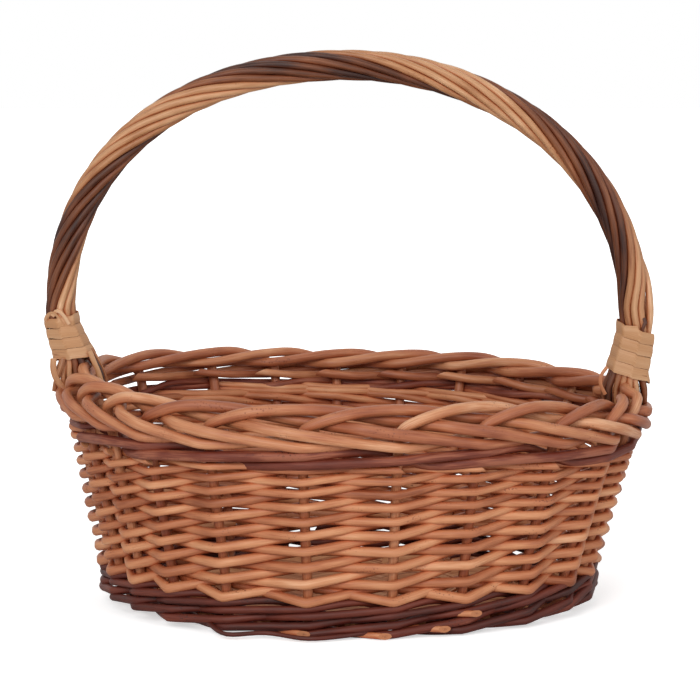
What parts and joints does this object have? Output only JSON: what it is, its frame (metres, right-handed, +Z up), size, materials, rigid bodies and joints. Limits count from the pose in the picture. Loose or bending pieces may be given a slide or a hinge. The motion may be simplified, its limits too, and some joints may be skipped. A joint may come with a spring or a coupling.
{
  "type": "foraging basket",
  "caption": "Oval willow foraging basket with a braided rod border, dark wale bands and a fixed wound bow handle bound at both feet.",
  "frame": {"origin": "on the ground plane, under the middle of the oval base", "axes": "+X along the long axis of the oval and along the handle's arch, +Y away from the picture's camera, +Z up"},
  "size_m": [0.4056, 0.2918, 0.3694],
  "materials": {
    "base_stick": "satin split willow",
    "base_weave": "satin buff willow, paired",
    "stake": "satin buff willow rod",
    "siding": "satin buff willow, randed",
    "wale": "satin brown willow in its bark",
    "handle_bow": "satin willow rod",
    "handle_brown": "satin brown willow rod",
    "handle_buff": "satin buff willow rod",
    "skein": "satin split willow skein"
  },
  "bodies": {
    "root": {"base_cross_stick_1": "base_stick", "base_cross_stick_2": "base_stick", "base_cross_stick_3": "base_stick", "base_cross_stick_4": "base_stick", "base_cross_stick_5": "base_stick", "base_long_stick_1": "base_stick", "base_long_stick_2": "base_stick", "base_long_stick_3": "base_stick", "base_weave": "base_weave", "stake_01": "stake", "stake_02": "stake", "stake_03": "stake", "stake_04": "stake", "stake_05": "stake", "stake_06": "stake", "stake_07": "stake", "stake_08": "stake", "stake_09": "stake", "stake_10": "stake", "stake_11": "stake", "stake_12": "stake", "stake_13": "stake", "stake_14": "stake", "stake_15": "stake", "stake_16": "stake", "stake_17": "stake", "stake_18": "stake", "stake_19": "stake", "stake_20": "stake", "stake_21": "stake", "stake_22": "stake", "lower_wale": "wale", "siding": "siding", "upper_wale": "wale", "handle_bow": "handle_bow", "handle_rod_brown_1": "handle_brown", "handle_rod_brown_2": "handle_brown", "handle_rod_brown_3": "handle_brown", "handle_rod_brown_4": "handle_brown", "handle_rod_brown_5": "handle_brown", "handle_rod_buff_1": "handle_buff", "handle_rod_buff_2": "handle_buff", "handle_rod_buff_3": "handle_buff", "handle_rod_buff_4": "handle_buff", "handle_rod_buff_5": "handle_buff", "binding_left": "skein", "binding_right": "skein"}
  },
  "joints": []
}
